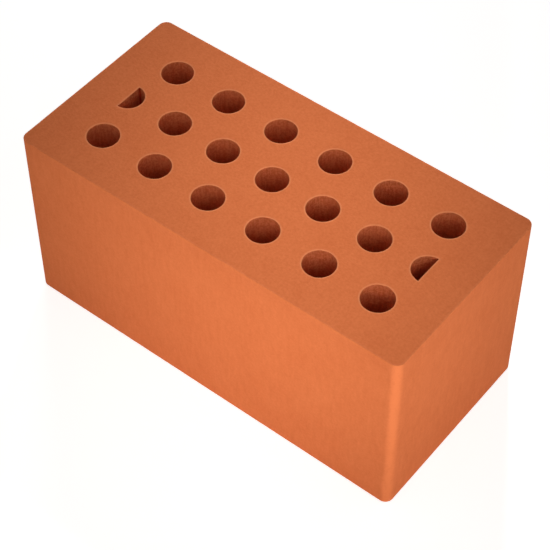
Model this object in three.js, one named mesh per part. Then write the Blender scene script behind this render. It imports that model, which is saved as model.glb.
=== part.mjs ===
// Perforated clay brick, extruded through a die and cut to height with a wire.
//
// The clay leaves the die standing on end: its outline and its holes are the same at every height, so the brick is
// one outline pushed straight up. The upright corners are rounded by the die. The two wide faces, the beds, are
// where the wire cut the column. The wire leaves their edges and the rims of the holes almost crisp, with a small
// arris that breaks the edge.
//
// Frame, in millimetres: +X along the length, +Y across the width, +Z up. The brick lies on its lower bed, and the
// origin is the middle of that bed.

import * as THREE from "three";

// ---------------------------------------------------------------- driving dimensions

const length = 250;
const width = 120;
const height = 120;
const cornerRadius = 5; // upright corners, rounded by the die
const arris = 0.3; // broken edge of the beds and of the holes' rims, measured along each face

const holeDiameter = 18; // steel cores in the die
const endShell = 25; // solid clay between the holes and each end
const sideShell = 20.2; // solid clay between the holes and each long side
const outerRowHoles = 6; // round holes in each of the two outer rows
const middleRowGaps = 6; // spaces along the middle row, from one half-round hole to the other

const firedClay = new THREE.MeshStandardMaterial({
  name: "fired_clay",
  color: "#d97341",
  roughness: 0.92,
  metalness: 0,
});

// ---------------------------------------------------------------- facets

const holeSegments = 32; // round a whole hole
const cornerSegments = 6; // round a quarter of the outline

// ---------------------------------------------------------------- worked out from the driving dimensions

const holeRadius = holeDiameter / 2;
const outerRowOffset = width / 2 - sideShell - holeRadius;
const outerRowReach = length / 2 - endShell - holeRadius; // centre of the last round hole
const outerRowPitch = (2 * outerRowReach) / (outerRowHoles - 1);
const middleRowReach = length / 2 - endShell; // flat side of the half-round holes
const middleRowPitch = (2 * middleRowReach) / middleRowGaps;

// ---------------------------------------------------------------- outline

// Points on an arc about a centre, both ends included.
function arcPoints(centreX, centreY, radius, fromAngle, toAngle, segments) {
  return Array.from({ length: segments + 1 }, (_, step) => {
    const angle = fromAngle + ((toAngle - fromAngle) * step) / segments;
    return new THREE.Vector2(centreX + radius * Math.cos(angle), centreY + radius * Math.sin(angle));
  });
}

// The brick seen from above: a rectangle with rounded corners, run round once, anticlockwise.
function brickOutline() {
  const cornerX = length / 2 - cornerRadius;
  const cornerY = width / 2 - cornerRadius;
  const quarter = Math.PI / 2;
  const corners = [
    [cornerX, cornerY],
    [-cornerX, cornerY],
    [-cornerX, -cornerY],
    [cornerX, -cornerY],
  ];
  return corners.flatMap(([x, y], turn) =>
    arcPoints(x, y, cornerRadius, turn * quarter, (turn + 1) * quarter, cornerSegments),
  );
}

// ---------------------------------------------------------------- holes

function roundHole(x, y) {
  return arcPoints(x, y, holeRadius, 0, 2 * Math.PI, holeSegments).slice(0, -1);
}

// Half of a round hole, with its flat side towards the end of the brick that it is at: side is 1 at +X, -1 at -X.
function halfRoundHole(side) {
  const start = (side * Math.PI) / 2;
  return arcPoints(side * middleRowReach, 0, holeRadius, start, start + Math.PI, holeSegments / 2);
}

// An outer row: round holes, evenly spaced between the two end shells.
function outerRow(y) {
  return Array.from({ length: outerRowHoles }, (_, n) => roundHole(-outerRowReach + n * outerRowPitch, y));
}

// The middle row: round holes between the two half-round ones, on a pitch of its own, so it is staggered
// against the outer rows.
function middleRow() {
  const rounds = Array.from({ length: middleRowGaps - 1 }, (_, n) =>
    roundHole(-middleRowReach + (n + 1) * middleRowPitch, 0),
  );
  return [halfRoundHole(-1), ...rounds, halfRoundHole(1)];
}

// ---------------------------------------------------------------- the brick

// The column between the two arrises is the outline at full size. At each bed the outline draws in and the holes
// widen by the arris.
function brickGeometry() {
  const section = new THREE.Shape(brickOutline());
  const holes = [...outerRow(-outerRowOffset), ...middleRow(), ...outerRow(outerRowOffset)];
  section.holes = holes.map((points) => new THREE.Path(points));
  const geometry = new THREE.ExtrudeGeometry(section, {
    depth: height - 2 * arris,
    bevelEnabled: true,
    bevelThickness: arris,
    bevelSize: arris,
    bevelOffset: -arris,
    bevelSegments: 1,
  });
  return geometry.translate(0, 0, arris);
}

const brick = new THREE.Mesh(brickGeometry(), firedClay);
brick.name = "clay_brick";

const group = new THREE.Group();
group.add(brick);

export default group;
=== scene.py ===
# %% [markdown]
# # A perforated clay brick
#
# Wet clay is pushed through a steel die, round the steel cores that leave the holes, and a taut wire cuts
# the long column into bricks. Firing turns them to hard, matt orange ceramic. So one body has three
# finishes: the beds that the wire cut, the sides that the die ironed, and the walls of the holes, which the
# cores dragged.
#
# The solid model is already there as a fixed frame, which says where the brick is and how big it is. The
# cells below give the brick its fired surface, and a small studio to show it in. They never move or resize
# the frame.

# %% Load the frame
import math

import bmesh
import bpy
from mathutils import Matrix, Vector, noise
from mathutils.geometry import delaunay_2d_cdt


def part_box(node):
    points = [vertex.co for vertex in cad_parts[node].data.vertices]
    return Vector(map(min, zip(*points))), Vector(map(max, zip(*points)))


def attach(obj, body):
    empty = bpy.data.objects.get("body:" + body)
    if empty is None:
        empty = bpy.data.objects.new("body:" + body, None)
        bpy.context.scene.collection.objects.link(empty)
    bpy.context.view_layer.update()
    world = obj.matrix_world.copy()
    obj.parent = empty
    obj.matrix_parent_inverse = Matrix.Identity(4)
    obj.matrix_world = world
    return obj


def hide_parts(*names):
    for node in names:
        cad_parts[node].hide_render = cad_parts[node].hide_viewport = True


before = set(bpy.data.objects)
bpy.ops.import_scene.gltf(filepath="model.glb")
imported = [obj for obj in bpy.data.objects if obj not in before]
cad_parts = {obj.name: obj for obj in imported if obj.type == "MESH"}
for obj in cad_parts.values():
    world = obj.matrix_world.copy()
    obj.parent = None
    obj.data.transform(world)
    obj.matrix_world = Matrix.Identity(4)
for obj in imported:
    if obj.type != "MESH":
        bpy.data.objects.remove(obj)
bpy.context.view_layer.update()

# %% [markdown]
# ## Sizes
#
# Blender works in metres, but a brick is measured in millimetres. The shape is worked out in millimetres
# and turned to metres once, when the mesh is written. The overall size comes from the frame, and the sizes
# of the die are named here. They could be measured on the solid instead, but named values are easier to
# read and to change.

# %% Sizes of the brick and its die
MM = 0.001  # metres

brick_low, brick_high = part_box("clay_brick")
length, width, height = [round(side / MM, 3) for side in brick_high - brick_low]

corner_radius = 5.0
arris = 0.3  # the broken edge of the beds and of the holes' rims
hole_radius = 9.0
end_shell = 25.0  # clay between an end and the first hole
side_shell = 20.2  # clay between a long side and the outer row
outer_row_holes = 6
middle_row_gaps = 6

outer_row_offset = width / 2 - side_shell - hole_radius
outer_row_reach = length / 2 - end_shell - hole_radius
outer_row_pitch = 2 * outer_row_reach / (outer_row_holes - 1)
middle_row_reach = length / 2 - end_shell
middle_row_pitch = 2 * middle_row_reach / middle_row_gaps

print(f"brick {length} x {width} x {height} mm")
print(f"outer rows {outer_row_offset:.1f} mm from the middle, pitches {outer_row_pitch:.1f} and "
      f"{middle_row_pitch:.1f} mm")

# %% [markdown]
# ## The section as loops
#
# An extruded brick is one drawing pushed straight up, so its shape is a set of closed loops: the outline
# and the nineteen holes. Each loop is a function of how far the clay is drawn back at that height. At zero
# it is the die's own size, and near a bed it draws back by the arris, the narrow broken edge. A curve
# object with a bevel could make the same shape, but its beds would be long thin triangles, which can't
# carry any relief.

# %% Points along arcs and lines
POINT_PITCH = 2.0  # mm between the points of the mesh, finer than the narrowest relief


def arc(centre, radius, start, end, steps):
    """Points on an arc, both ends included."""
    angles = [start + (end - start) * n / steps for n in range(steps + 1)]
    return [(centre[0] + radius * math.cos(a), centre[1] + radius * math.sin(a)) for a in angles]


def between(first, last, steps):
    """Points on a straight line, without its two ends."""
    shares = [n / steps for n in range(1, steps)]
    return [(first[0] + (last[0] - first[0]) * s, first[1] + (last[1] - first[1]) * s) for s in shares]


along_the_brick = between((0, 0), (length, 0), round(length / POINT_PITCH))
print(f"{len(along_the_brick)} points along the brick")

# %% The outline
CORNER_STEPS = 8  # straight steps round an upright corner


def outline(drawn_back):
    """The brick seen from above, anticlockwise, with its sides drawn back by so many millimetres."""
    half_x, half_y = length / 2 - corner_radius, width / 2 - corner_radius
    corners = [(half_x, half_y), (-half_x, half_y), (-half_x, -half_y), (half_x, -half_y)]
    radius = corner_radius - drawn_back
    quarter = math.pi / 2
    arcs = [arc(c, radius, n * quarter, (n + 1) * quarter, CORNER_STEPS) for n, c in enumerate(corners)]
    points = []
    for turn, bend in enumerate(arcs):
        side = 2 * (half_x if turn % 2 == 0 else half_y)
        points += bend + between(bend[-1], arcs[(turn + 1) % 4][0], round(side / POINT_PITCH))
    return points


print(f"{len(outline(0))} points round the outline")

# %% The holes
HOLE_STEPS = 48  # straight steps round a hole


def round_hole(centre):
    """A loop that widens as the clay is drawn back."""
    def loop(drawn_back):
        return arc(centre, hole_radius + drawn_back, 0, 2 * math.pi, HOLE_STEPS)[:-1]
    return loop


def half_round_hole(side):
    """Half of a round hole, with its flat towards the end of the brick. Side is 1 at +X and -1 at -X."""
    def loop(drawn_back):
        radius = hole_radius + drawn_back
        corner = math.acos(drawn_back / radius)
        bend = arc((0, 0), radius, corner, 2 * math.pi - corner, HOLE_STEPS // 2)
        flat = between(bend[-1], bend[0], round(2 * hole_radius / POINT_PITCH))
        return [(side * (middle_row_reach + x), y) for x, y in bend + flat]
    return loop


def hole_loops():
    """All nineteen holes: two outer rows, and the middle row on a pitch of its own."""
    outer = [round_hole((-outer_row_reach + n * outer_row_pitch, y))
             for y in (-outer_row_offset, outer_row_offset) for n in range(outer_row_holes)]
    middle = [round_hole((-middle_row_reach + n * middle_row_pitch, 0)) for n in range(1, middle_row_gaps)]
    return outer + middle + [half_round_hole(-1), half_round_hole(1)]


holes = hole_loops()
print(f"{len(holes)} holes")

# %% [markdown]
# ## From loops to a closed skin
#
# The walls are the loops stacked up at many heights, joined by four-sided faces. The beds are flat faces
# full of holes, and they need an even mesh for their relief. So each bed is filled with a lattice of
# points, and a Delaunay triangulation joins them to the loops. The broken edge between bed and wall is a
# quarter round of a few narrow rings. One more ring on each side stays flat, so that smooth shading turns
# on the edge and not far beyond it. On the bed, a rim's pale sand and painted highlight fade out across
# that ring too.

# %% Heights of the rings
ARRIS_STEPS = 3  # steps over the quarter round of a broken edge
GUARD = 0.9  # mm, width of the flat ring beside the broken edge
WALL_STEPS = 44  # steps up a wall


def edge_profile():
    """(drawn back, height) of each ring from the lower bed up to the wall."""
    turns = [math.pi / 2 * n / ARRIS_STEPS for n in range(ARRIS_STEPS + 1)]
    quarter = [(arris * (1 - math.sin(t)), arris * (1 - math.cos(t))) for t in turns]
    return [(arris + GUARD, 0.0)] + quarter + [(0.0, arris + GUARD)]


def ring_levels():
    """(drawn back, height) of every ring, from the lower bed to the upper one."""
    lower = edge_profile()
    upper = [(back, height - z) for back, z in reversed(lower)]
    start, end = lower[-1][1], upper[0][1]
    wall = [(0.0, start + (end - start) * n / WALL_STEPS) for n in range(1, WALL_STEPS)]
    return lower + wall + upper


levels = ring_levels()
print(f"{len(levels)} rings on each loop")

# %% Fill a bed with an even lattice
LATTICE_GAP = 0.6  # of the point pitch, kept free between a loop and the lattice


def inside(point, loop):
    """True if a point is inside a closed loop, so that a line drawn from it crosses the loop an odd number
    of times."""
    x, y = point
    odd = False
    for (ax, ay), (bx, by) in zip(loop, loop[1:] + loop[:1]):
        if (ay > y) != (by > y) and x < ax + (y - ay) / (by - ay) * (bx - ax):
            odd = not odd
    return odd


def bed_lattice():
    """Points in rows half a pitch out of step, well clear of the loops."""
    clear = arris + GUARD + LATTICE_GAP * POINT_PITCH
    rim, rims = outline(clear), [hole(clear) for hole in holes]
    row_gap = POINT_PITCH * math.sqrt(3) / 2  # makes the triangles equal-sided
    rows = int(width / 2 / row_gap)
    columns = int(length / 2 / POINT_PITCH) + 1
    points = []
    for row in range(-rows, rows + 1):
        for column in range(-columns, columns + 1):
            point = ((column + 0.5 * (row % 2)) * POINT_PITCH, row * row_gap)
            if inside(point, rim) and not any(inside(point, hole) for hole in rims):
                points.append(point)
    return points


lattice = bed_lattice()
print(f"{len(lattice)} points inside a bed")

# %% Join the lattice to the loops
WHOLE_AREA = 0  # the triangulation's code for filling everything, holes included
SAME_POINT = 1e-6  # mm, points nearer than this are one
WITH_SOURCES = True  # also says which of the given points each result is


def bed_triangles():
    """Triangles of a bed, as numbers into the first ring of every loop and then the lattice."""
    back = levels[0][0]
    rings = [outline(back)] + [hole(back) for hole in holes]
    points, edges = [], []
    for ring in rings:
        first = len(points)
        points += ring
        edges += [(first + n, first + (n + 1) % len(ring)) for n in range(len(ring))]
    vectors = [Vector(point) for point in points + lattice]
    found, _, faces, sources, _, _ = delaunay_2d_cdt(
        vectors, edges, [], WHOLE_AREA, SAME_POINT, WITH_SOURCES)
    number = [source[0] for source in sources]
    kept = []
    for face in faces:
        middle = sum((found[n] for n in face), Vector((0, 0))) / 3
        if inside(middle, rings[0]) and not any(inside(middle, ring) for ring in rings[1:]):
            kept.append([number[n] for n in face])
    return kept


triangles = bed_triangles()
print(f"{len(triangles)} triangles in each bed")

# %% Build the skin
BED, SIDE, HOLE_WALL = 0, 1, 2  # numbers of the three finishes
# pale sand on the outer edges, which is also a faint painted highlight
OUTER_SAND_HIGHLIGHT = 0.2  # sand on the outer edges, as a share of what shows on the rims of the holes


def wall_finish(loop_number, level):
    """The broken edge is finished like the bed. The outline, loop 0, is a side, and the rest are holes."""
    edge_rings = ARRIS_STEPS + 1
    if level < edge_rings or level >= len(levels) - 1 - edge_rings:
        return BED
    return SIDE if loop_number == 0 else HOLE_WALL


def build_skin():
    """The whole brick as one closed bmesh, in millimetres. Every face has the number of its finish, and
    every point says, from 0 to 1, how much pale sand and painted highlight it carries as part of a rim."""
    skin = bmesh.new()
    sandy = skin.verts.layers.float.new("sandy_rim_highlight")
    stacks = [[[skin.verts.new((x, y, z)) for x, y in loop(back)] for back, z in levels]
              for loop in [outline] + holes]
    for loop_number, stack in enumerate(stacks):
        # pale sand and painted highlight on the rings of each broken edge
        for ring in stack[1:ARRIS_STEPS + 1] + stack[-ARRIS_STEPS - 1:-1]:
            for vert in ring:
                vert[sandy] = OUTER_SAND_HIGHLIGHT if loop_number == 0 else 1.0
        for level, (low, high) in enumerate(zip(stack, stack[1:])):
            for n in range(len(low)):
                after = (n + 1) % len(low)
                face = skin.faces.new((low[n], low[after], high[after], high[n]))
                face.material_index = wall_finish(loop_number, level)
    for level, z in ((0, 0.0), (-1, height)):
        verts = [vert for stack in stacks for vert in stack[level]]
        verts += [skin.verts.new((x, y, z)) for x, y in lattice]
        for triangle in triangles:
            skin.faces.new([verts[n] for n in triangle]).material_index = BED
    bmesh.ops.recalc_face_normals(skin, faces=skin.faces)
    return skin


skin = build_skin()
print(f"{len(skin.verts)} points, {sum(len(f.verts) - 2 for f in skin.faces)} triangles, "
      f"{sum(not e.is_manifold for e in skin.edges)} open edges")

# %% [markdown]
# ## Relief that the hand would feel
#
# The die and the wire leave marks that are too wide for a bump: long shallow ribs up the sides, slow waves
# across the beds where the wire shook, grooves down the holes, and crumbs lost from the broken edges.
# Displace modifiers could add them, but each finish has marks of its own and the brick must not grow. So
# each point is moved inwards by a small depth, which noise gives from its place in millimetres.

# %% Noise measured in millimetres
SEED_DIRECTION = Vector((1.0, 0.37, 0.0))  # a seed slides the noise this way, so that marks differ


def soft_noise(place, sizes, seed):
    """Noise from 0 to 1 that changes over the given sizes along X, Y and Z."""
    scaled = Vector([coordinate / size for coordinate, size in zip(place, sizes)])
    return 0.5 + 0.5 * noise.noise(scaled + seed * SEED_DIRECTION)


print("noise along 30 mm:", [round(soft_noise((x, 0, 0), (10, 10, 10), 1.0), 2) for x in range(0, 31, 5)])

# %% Depth of the relief, in millimetres
RIB_WIDTH, RIB_DEPTH, RIB_SEED = 7.0, 0.06, 2.0  # up the die's sides
DRAG_WIDTH, DRAG_DEPTH, DRAG_SEED = 3.2, 0.14, 5.0  # down a hole's wall
MARK_LENGTH = 160.0  # along a rib or a groove
WAVE_SIZES, WAVE_DEPTH, WAVE_SEED = (22.0, 140.0, height), 0.16, 11.0  # long the way the wire lay, along Y
LUMP_SIZES, LUMP_SHARE, LUMP_SEED = (9.0, 9.0, height), 0.35, 17.0  # share of the depth of a bed
CRUMB_SIZES, CRUMB_DEPTH, CRUMB_SEED = (3.0, 3.0, 3.0), 0.3, 23.0
CRUMB_LEVEL = 0.62  # crumbs are rare: only noise above this breaks one off


def wall_depth(place, across, depth, seed):
    """Ribs or grooves that run up a wall."""
    return depth * soft_noise(place, (across, across, MARK_LENGTH), seed)


def bed_depth(place):
    """Slow waves with lumps on them."""
    waves = soft_noise(place, WAVE_SIZES, WAVE_SEED)
    lumps = soft_noise(place, LUMP_SIZES, LUMP_SEED)
    return WAVE_DEPTH * ((1 - LUMP_SHARE) * waves + LUMP_SHARE * lumps)


def crumb_depth(place):
    """A crumb wherever the noise peaks, and nothing elsewhere."""
    peak = soft_noise(place, CRUMB_SIZES, CRUMB_SEED) - CRUMB_LEVEL
    return CRUMB_DEPTH * max(0.0, peak) / (1 - CRUMB_LEVEL)


front_depth = wall_depth((0, -width / 2, 0), RIB_WIDTH, RIB_DEPTH, RIB_SEED)
print(f"relief at the foot of the front {front_depth:.3f} mm, of a bed {bed_depth((0, 0, 0)):.3f} mm")

# %% Move every point inwards
def roughen(skin):
    """Moves each point in by its depth. Also marks, from 0 to 1, the upright corners, where a painted
    highlight lightens the clay."""
    skin.normal_update()
    corner_highlight_share = skin.verts.layers.float.new("painted_corner_highlight")
    moves = []
    for vert in skin.verts:
        in_hole = HOLE_WALL in {face.material_index for face in vert.link_faces}
        wall = wall_depth(vert.co, DRAG_WIDTH, DRAG_DEPTH, DRAG_SEED) if in_hole else \
            wall_depth(vert.co, RIB_WIDTH, RIB_DEPTH, RIB_SEED)
        flatness = abs(vert.normal.z)
        depth = flatness * bed_depth(vert.co) + (1 - flatness) * wall
        broken = 1 - abs(2 * flatness - 1)
        # painted highlight: the upright corners, between two sides, get up to 1 and are drawn lighter
        vert[corner_highlight_share] = 0.0 if in_hole else 2 * abs(vert.normal.x * vert.normal.y)
        moves.append(vert.normal * -(depth + broken * crumb_depth(vert.co)))
    for vert, move in zip(skin.verts, moves):
        vert.co += move
    return max(move.length for move in moves)


print(f"deepest relief {roughen(skin):.2f} mm")

# %% [markdown]
# ## The mesh as an object
#
# Smooth shading hides the facets of the round holes and corners. It would also round off the two true
# corners of each half-round hole, so the edges that turn the most are marked sharp. In Blender this is
# Shade Auto Smooth, but marks on the mesh itself need no modifier and go with it into any export.

# %% Write the mesh in metres
SHARP_ANGLE = math.radians(70)  # only the corners of the half-round holes turn by more


def finish_mesh(skin, name):
    """The bmesh as an object, in metres."""
    bmesh.ops.scale(skin, vec=(MM, MM, MM), verts=skin.verts)
    for face in skin.faces:
        face.smooth = True
    for edge in skin.edges:
        edge.smooth = edge.calc_face_angle(0) < SHARP_ANGLE
    mesh = bpy.data.meshes.new(name)
    skin.to_mesh(mesh)
    skin.free()
    body = bpy.data.objects.new(name, mesh)
    bpy.context.scene.collection.objects.link(body)
    return body


brick = finish_mesh(skin, "brick_body")
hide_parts("clay_brick")
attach(brick, "root")
print(f"{brick.name} is {brick.dimensions.x / MM:.2f} mm long, with {len(brick.data.polygons)} faces")

# %% [markdown]
# ## Helpers for the materials
#
# A procedural material is a chain of nodes. One helper adds a node, sets it up and links it, so that a
# material reads as a list of steps. Colours are written as on a paint card, in sRGB hex, and turned to
# linear light once. Patterns are drawn in the object's own coordinates, in metres, so a size in millimetres
# gives their scale.

# %% Colours
def linear(hex_code):
    """An sRGB hex colour as linear RGBA, by the formula of the sRGB standard."""
    channels = [int(hex_code[n:n + 2], 16) / 255 for n in (1, 3, 5)]
    return [c / 12.92 if c <= 0.04045 else ((c + 0.055) / 1.055) ** 2.4 for c in channels] + [1.0]


print("mid grey in linear light:", round(linear("#808080")[0], 3))

# %% Nodes and scales
def add(tree, kind, inputs=None, **settings):
    """Adds a node. Inputs are values or other nodes' sockets, by name, or by number where names repeat."""
    node = tree.nodes.new(kind)
    for name, value in settings.items():
        setattr(node, name, value)
    for socket, value in (inputs or {}).items():
        if isinstance(value, bpy.types.NodeSocket):
            tree.links.new(value, node.inputs[socket])
        else:
            node.inputs[socket].default_value = value
    return node


def per_metre(size):
    """How many times a pattern of this size, in millimetres, repeats in a metre."""
    return 1 / (size * MM)


print("a 2 mm pattern has the scale", round(per_metre(2)))

# %% [markdown]
# ## Fired clay
#
# Common brick clay fires to orange because of its iron. It is a matt, open ceramic: light goes in among the
# grains before it comes back, so the surface shows almost no gloss and its roughness is near 1. Mixing and
# the kiln give it slow clouds of lighter and darker orange, and its sand gives a fine even grain. A painted
# highlight lightens the upright corners. Where the wire broke grains away, pale sand shows, most of all
# round the rims of the holes, where it is strong enough to act as a painted highlight too. An image of clay
# could be used, but it would repeat and could not follow the rims.
#
# All three finishes share that body. So the patterns, the colour and the fine relief are worked out by one
# function each, and each finish adds its own marks to them. Brick sand is about half a millimetre, but
# grain that fine would vanish at this distance, so it is drawn at 1.4 mm.

# %% Patterns of the clay
CLOUD_SIZE = 22.0  # mm
CLOUD_DETAIL, CLOUD_ROUGHNESS = 5.0, 0.8  # ragged clouds, down to flecks of less than a millimetre
GRAIN_SIZE = 1.4  # mm
GRAIN_ROUGHNESS = 0.6
MARK_DETAIL = 3.0


def clay_patterns(tree, mark_sizes):
    """Clouds, grain and marks, each from 0 to 1. Marks are stretched to their sizes along X, Y and Z."""
    place = add(tree, "ShaderNodeTexCoord").outputs["Object"]
    clouds = add(tree, "ShaderNodeTexNoise", {"Vector": place, "Scale": per_metre(CLOUD_SIZE),
                                              "Detail": CLOUD_DETAIL, "Roughness": CLOUD_ROUGHNESS})
    grain = add(tree, "ShaderNodeTexNoise", {"Vector": place, "Scale": per_metre(GRAIN_SIZE),
                                             "Roughness": GRAIN_ROUGHNESS})
    along = add(tree, "ShaderNodeMapping", {"Vector": place, "Scale": [per_metre(s) for s in mark_sizes]})
    marks = add(tree, "ShaderNodeTexNoise", {"Vector": along.outputs[0], "Scale": 1.0,
                                             "Detail": MARK_DETAIL})
    return [pattern.outputs["Fac"] for pattern in (clouds, grain, marks)]


print(f"scale of the clouds {per_metre(CLOUD_SIZE):.0f} and of the grain {per_metre(GRAIN_SIZE):.0f}")

# %% Colour of the clay
# pale sand of broken edges, strong enough round the holes to be a painted highlight along the rims
PALE_SAND_HIGHLIGHT = "#F0A070"
# on a hole's rim this is partly real sand and partly painted highlight
RIM_SAND_HIGHLIGHT = 0.4  # share of bare sand on the rim of a hole
# painted highlight on the upright corners, by how far it moves them towards the lighter clay
CORNER_HIGHLIGHT = 0.5  # of the step between the two cloud colours
COLOUR_A, COLOUR_B, COLOUR_OUT = 6, 7, 2  # colour sockets of a Mix node, which share names with its others


def clay_colour(tree, patterns, between_colours, grain_contrast, mark_contrast):
    """Mixes a darker and a lighter clay by all the patterns together. Contrasts are set against the clouds,
    which count as 1. A Math node's inputs go by number: Multiply Add is input 0 times 1, plus input 2."""
    clouds, grain, marks = patterns
    grainy = add(tree, "ShaderNodeMath", {0: grain, 1: grain_contrast, 2: clouds}, operation="MULTIPLY_ADD")
    marked = add(tree, "ShaderNodeMath", {0: marks, 1: mark_contrast, 2: grainy.outputs[0]},
                 operation="MULTIPLY_ADD")
    # painted highlight: the upright corners are pushed towards the lighter clay colour
    corner = add(tree, "ShaderNodeAttribute", attribute_name="painted_corner_highlight")
    corner_lit = add(tree, "ShaderNodeMath", {0: corner.outputs["Fac"], 1: CORNER_HIGHLIGHT,
                                          2: marked.outputs[0]}, operation="MULTIPLY_ADD")
    middle = 0.5 * (1 + grain_contrast + mark_contrast)  # the sum when every pattern is at its middle
    shade = add(tree, "ShaderNodeMapRange", {"Value": corner_lit.outputs[0], "From Min": middle - 0.5,
                                             "From Max": middle + 0.5})
    dark, light = [linear(colour) for colour in between_colours]
    clay = add(tree, "ShaderNodeMix", {"Factor": shade.outputs[0], COLOUR_A: dark, COLOUR_B: light},
               data_type="RGBA")
    # pale sand and painted highlight round the rims
    rim = add(tree, "ShaderNodeAttribute", attribute_name="sandy_rim_highlight")
    bare = add(tree, "ShaderNodeMath", {0: rim.outputs["Fac"], 1: RIM_SAND_HIGHLIGHT}, operation="MULTIPLY")
    sanded = add(tree, "ShaderNodeMix", {"Factor": bare.outputs[0], COLOUR_A: clay.outputs[COLOUR_OUT],
                                         COLOUR_B: linear(PALE_SAND_HIGHLIGHT)}, data_type="RGBA")
    return sanded.outputs[COLOUR_OUT]


print("pale sand in linear light:", [round(channel, 2) for channel in linear(PALE_SAND_HIGHLIGHT)[:3]])

# %% Fine relief and gloss of the clay
MARK_HEIGHT = 0.6  # of the grain's height
CLAY_ROUGHNESS = 0.93
CLAY_IOR = 1.5  # quartz and fired clay


def clay_relief(tree, patterns, depth):
    """A bump as deep as the grain, in millimetres, with lower marks in it."""
    _, grain, marks = patterns
    surface = add(tree, "ShaderNodeMath", {0: marks, 1: MARK_HEIGHT, 2: grain}, operation="MULTIPLY_ADD")
    bump = add(tree, "ShaderNodeBump", {"Height": surface.outputs[0], "Strength": 1.0,
                                        "Distance": depth * MM})
    return bump.outputs[0]


def fired_clay(name, between_colours, grain_contrast, mark_sizes, mark_contrast, relief, gloss):
    """A clay material with the marks of one finish. Sizes and relief are in millimetres."""
    material = bpy.data.materials.new(name)
    material.use_nodes = True
    tree = material.node_tree
    patterns = clay_patterns(tree, mark_sizes)
    colour = clay_colour(tree, patterns, between_colours, grain_contrast, mark_contrast)
    shader = tree.nodes["Principled BSDF"]
    tree.links.new(colour, shader.inputs["Base Color"])
    tree.links.new(clay_relief(tree, patterns, relief), shader.inputs["Normal"])
    shader.inputs["Roughness"].default_value = CLAY_ROUGHNESS
    shader.inputs["IOR"].default_value = CLAY_IOR
    shader.inputs["Specular IOR Level"].default_value = gloss
    brick.data.materials.append(material)
    return material


print(f"clay roughness {CLAY_ROUGHNESS}, IOR {CLAY_IOR}")

# %% [markdown]
# ## Three finishes
#
# The finishes are added in the order of the numbers on the faces: bed, side, hole wall. One material with
# masks could do the same, but three short ones are easier to follow and to change.
#
# The wire tears the clay, and it sticks and slips a little on its way through. So a bed looks grainy and
# dull, with faint lines along the wire.

# %% Wire-cut clay of the beds
SKIN_COLOURS = ("#D26C3B", "#E07A47")  # the darker and the lighter of the clouds
SKIN_GLOSS = 0.15  # less than a third of the usual gloss, because the pores swallow the rest

wire_cut = fired_clay("wire_cut_clay", SKIN_COLOURS, grain_contrast=1.5, mark_sizes=(1.6, 40.0, 40.0),
                      mark_contrast=0.3, relief=0.2, gloss=SKIN_GLOSS)
print(wire_cut.name, "has", len(wire_cut.node_tree.nodes), "nodes")

# %% [markdown]
# The wet steel of the die irons the sides to a closed skin. They look smoother than the beds, with soft
# short streaks the way the clay moved, which is up the brick.

# %% Die-ironed clay of the sides
die_ironed = fired_clay("die_ironed_clay", SKIN_COLOURS, grain_contrast=1.0, mark_sizes=(3.0, 3.0, 11.0),
                        mark_contrast=0.9, relief=0.1, gloss=SKIN_GLOSS)
print(die_ironed.name, "has", len(die_ironed.node_tree.nodes), "nodes")

# %% [markdown]
# The cores drag harder than the die, because the clay closes on them. So the walls of the holes look rough
# and streaked from top to bottom, with no gloss at all. Their colours are a little darker than the outside,
# as painted shade for the hollows.
#
# In the two inner corners of a half-round hole the clay is painted a darker red, as painted shade in the
# creases. That draws a thin dark line down each corner. The four corners mirror each
# other, so the coordinates are folded onto one of them, and the line follows from the distance to it.

# %% Core-dragged clay of the hole walls
# painted shade: the hole walls are a little darker than the outside, to deepen the hollows
SHADED_WALL_COLOURS = ("#CB6A40", "#D9794D")

core_dragged = fired_clay("core_dragged_clay", SHADED_WALL_COLOURS, grain_contrast=5.0,
                          mark_sizes=(0.8, 0.8, 12.0), mark_contrast=2.5, relief=0.5, gloss=0.0)
print("finishes:", [material.name for material in brick.data.materials])

# %% Painted shade in the inner corners
# painted shade: a dark red line down each inner corner, where shade gathers in the crease
CREASE_SHADE = "#B3381A"
CREASE_SHADE_REACH = 1.3  # mm from a corner to where the line has faded out


def paint_corner_shade(material):
    """Mixes in painted shade by the distance from the nearest inner corner of a half-round hole."""
    tree = material.node_tree
    place = add(tree, "ShaderNodeTexCoord").outputs["Object"]
    keep_xy = (1, 1, 0)  # drops the height, because the line is the same all the way down
    level = add(tree, "ShaderNodeVectorMath", {0: place, 1: keep_xy}, operation="MULTIPLY")
    folded = add(tree, "ShaderNodeVectorMath", {0: level.outputs[0]}, operation="ABSOLUTE")
    corner = (middle_row_reach * MM, hole_radius * MM, 0)
    away = add(tree, "ShaderNodeVectorMath", {0: folded.outputs[0], 1: corner}, operation="DISTANCE")
    faded = add(tree, "ShaderNodeMapRange", {"Value": away.outputs["Value"],
                                             "From Max": CREASE_SHADE_REACH * MM})
    base = tree.nodes["Principled BSDF"].inputs["Base Color"]
    lined = add(tree, "ShaderNodeMix", {"Factor": faded.outputs[0], COLOUR_A: linear(CREASE_SHADE),
                                        COLOUR_B: base.links[0].from_socket}, data_type="RGBA")
    tree.links.new(lined.outputs[COLOUR_OUT], base)


paint_corner_shade(core_dragged)
print(f"inner corners at {middle_row_reach:.0f} mm along and {hole_radius:.0f} mm across")

# %% [markdown]
# ## Floor and backdrop
#
# A small matt object is shot on a white sweep of paper. The lamps are set for the clay and most of them
# only graze the floor, so under them paper would look grey, and more light would burn out the clay. Instead
# the floor is pale paper to the light, and to the camera it also glows a little. That makes it white and
# leaves the brick's soft shadow on it. The Light Path node tells the camera's rays from the rest. Rays that
# gloss or glass send on are counted with them, so that they find the same white background.

# %% Rays that see the background
SEEING = ("Is Camera Ray", "Is Glossy Ray", "Is Transmission Ray")


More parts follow.
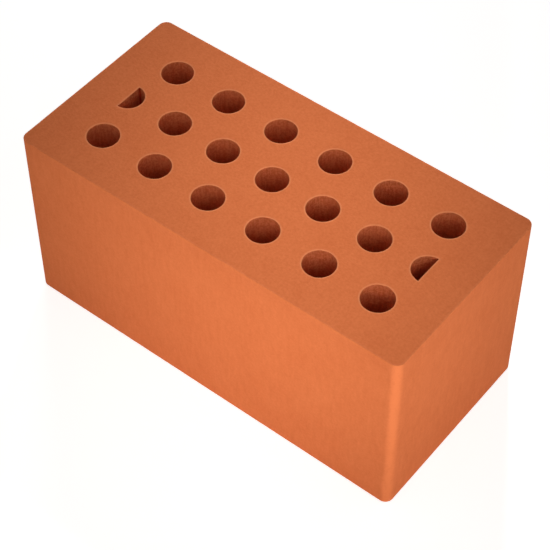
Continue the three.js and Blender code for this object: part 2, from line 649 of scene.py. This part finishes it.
def seen_ray(tree):
    """1 for a ray that sees the white background, and 0 for one that only carries light."""
    ray = add(tree, "ShaderNodeLightPath")
    seen = ray.outputs[SEEING[0]]
    for kind in SEEING[1:]:
        either = add(tree, "ShaderNodeMath", {0: seen, 1: ray.outputs[kind]}, operation="MAXIMUM")
        seen = either.outputs[0]
    return seen


print("kinds of ray that see the background:", len(SEEING))

# %% Floor
FLOOR_SIZE = 4.0  # m
FLOOR_GAP = 0.2 * MM  # keeps the floor's face off the lower bed
FLOOR_PAPER = "#EDECEA"
FLOOR_GLOW = 0.71  # of full white
WHITE = "#FFFFFF"


def paper_floor():
    """A plane just under the brick's lower bed: pale paper in bounced light, and white to the camera."""
    bpy.ops.mesh.primitive_plane_add(size=FLOOR_SIZE, location=(0, 0, brick_low.z - FLOOR_GAP))
    floor = bpy.context.object
    floor.name = "studio_floor"
    material = bpy.data.materials.new("matt_paper")
    material.use_nodes = True
    tree = material.node_tree
    shader = tree.nodes["Principled BSDF"]
    shader.inputs["Base Color"].default_value = linear(FLOOR_PAPER)
    shader.inputs["Roughness"].default_value = 1.0
    shader.inputs["Specular IOR Level"].default_value = 0.0
    shader.inputs["Emission Color"].default_value = linear(WHITE)
    glow = add(tree, "ShaderNodeMath", {0: seen_ray(tree), 1: FLOOR_GLOW}, operation="MULTIPLY")
    tree.links.new(glow.outputs[0], shader.inputs["Emission Strength"])
    floor.data.materials.append(material)
    return floor


print("floor at", round(paper_floor().location.z / MM, 2), "mm")

# %% Backdrop
SKY_FILL = 0.3


def studio_sky():
    """A plain weak fill from all round, and pure white where the camera looks past the floor."""
    world = bpy.data.worlds.new("studio_sky")
    bpy.context.scene.world = world
    world.use_nodes = True
    tree = world.node_tree
    background = tree.nodes["Background"]
    background.inputs["Color"].default_value = linear(WHITE)
    strength = add(tree, "ShaderNodeMapRange", {"Value": seen_ray(tree), "To Min": SKY_FILL})
    tree.links.new(strength.outputs[0], background.inputs["Strength"])
    return world


print(studio_sky().name, "fills at", SKY_FILL)

# %% [markdown]
# ## Lamps
#
# Holes are what this brick is about, and they only look deep if little light gets into them. So the lamp
# that lights the upper bed stands behind the brick: it shines on the bed and on the hole walls that face
# away from the camera. Three small key lamps on the camera's side, one above the other, reach a little way
# down the walls that do show, each to a depth of its own, so the light fades down a wall without a hard
# step. They also draw a bright line down the rounded corner. Low lamps light the long sides and the ends.
# They shine almost level, so hardly any of their light gets into a hole.
#
# All are spot lamps whose beam fades from its middle to its rim, so each face is brightest near its lamp's
# aim and falls off towards the far ends, as under small softboxes. Sun lamps would light each face evenly
# and look flat.

# %% Aiming at the brick
LAMP_DISTANCE = 1.5  # m


def on_brick(along, across, up):
    """A point of the brick's box, by its shares of the way from the left, the front and the bottom."""
    shares = (along, across, up)
    return Vector([low + share * (high - low) for low, share, high in zip(brick_low, shares, brick_high)])


def aimed(target, azimuth, elevation, distance):
    """A place round a target, and the turn that looks back at it. Azimuth 0 is the front, 90 the right."""
    a, e = math.radians(azimuth), math.radians(elevation)
    back = Vector((math.sin(a) * math.cos(e), -math.cos(a) * math.cos(e), math.sin(e)))
    return target + back * distance, (-back).to_track_quat("-Z", "Y")


print("the near corner is at", [round(v / MM) for v in on_brick(1, 0, 1)], "mm")

# %% A spot lamp
SMALL, BROAD = 0.1, 0.2  # m, radius of a lamp


def spot(name, target, azimuth, elevation, level, beam, size=SMALL):
    """A spot lamp of a given beam in degrees. At a level of 1 a white surface that faces it is just white.
    Its watts are for a whole sphere round it, 4 pi times the distance squared, and a matt surface sends
    only 1 / pi of what falls on it towards the camera."""
    data = bpy.data.lights.new(name, "SPOT")
    data.energy = level * math.pi * (4 * math.pi * LAMP_DISTANCE ** 2)
    data.spot_size = math.radians(beam)
    data.spot_blend = 1.0
    data.shadow_soft_size = size
    lamp = bpy.data.objects.new(name, data)
    bpy.context.scene.collection.objects.link(lamp)
    lamp.location, turn = aimed(target, azimuth, elevation, LAMP_DISTANCE)
    lamp.rotation_mode = "QUATERNION"
    lamp.rotation_quaternion = turn
    return lamp


print(f"a lamp is {LAMP_DISTANCE} m from its aim")

# %% Seven lamps
lamps = [
    spot("bed_lamp", on_brick(0.58, 0.42, 1), azimuth=-150, elevation=40, level=0.71, beam=14),
    spot("high_key_lamp", on_brick(0.70, 0, 0.71), azimuth=43, elevation=40, level=0.19, beam=8),
    spot("middle_key_lamp", on_brick(0.70, 0, 0.71), azimuth=43, elevation=32, level=0.21, beam=8),
    spot("low_key_lamp", on_brick(0.82, 0.08, 0.83), azimuth=35, elevation=20, level=0.31, beam=9),
    spot("front_lamp", on_brick(0.58, 0, 0.83), azimuth=10, elevation=0.5, level=0.51, beam=17),
    spot("end_lamp", on_brick(0.90, 0.08, 0.75), azimuth=85, elevation=1, level=0.59, beam=22, size=BROAD),
    spot("back_lamp", on_brick(0.18, 1, 0.67), azimuth=-135, elevation=8, level=0.48, beam=25, size=BROAD),
]
print("lamps in watts:", {lamp.name: round(lamp.data.energy) for lamp in lamps})

# %% [markdown]
# ## Camera
#
# A long lens a metre away keeps the brick's edges nearly parallel. The camera looks down at the upper bed,
# a long side and an end from about 50 degrees. It aims at the middle of the brick and then slides a little,
# without turning, to place the brick in the frame. Lens shift would do that too, but it would move the
# brick in every other view as well.

# %% Camera
CAMERA_AZIMUTH = 38.24  # degrees from the front, towards the right
CAMERA_ELEVATION = 50.03  # degrees
CAMERA_DISTANCE = 0.977  # m
CAMERA_LENS = 116.23  # mm
SENSOR_WIDTH = 36.0  # mm, as on full-frame film
SLIDE_RIGHT = 1.5 * MM
SLIDE_DOWN = 11.6 * MM
NEAREST, FARTHEST = 0.05, 20.0  # m, how far the camera sees

camera_data = bpy.data.cameras.new("camera")
camera_data.lens = CAMERA_LENS
camera_data.sensor_width = SENSOR_WIDTH
camera_data.clip_start, camera_data.clip_end = NEAREST, FARTHEST
camera = bpy.data.objects.new("camera", camera_data)
bpy.context.scene.collection.objects.link(camera)
place, turn = aimed(on_brick(0.5, 0.5, 0.5), CAMERA_AZIMUTH, CAMERA_ELEVATION, CAMERA_DISTANCE)
camera.location = place + turn @ Vector((SLIDE_RIGHT, -SLIDE_DOWN, 0))
camera.rotation_mode = "QUATERNION"
camera.rotation_quaternion = turn
bpy.context.scene.camera = camera
print(f"camera {camera.location.z:.2f} m above the floor, {camera_data.lens:.0f} mm lens")

# %% [markdown]
# ## Colours as written
#
# The Standard view shows a colour as it was written, where a filmic one would soften the orange.

# %% View
bpy.context.scene.view_settings.view_transform = "Standard"
print("view:", bpy.context.scene.view_settings.view_transform)
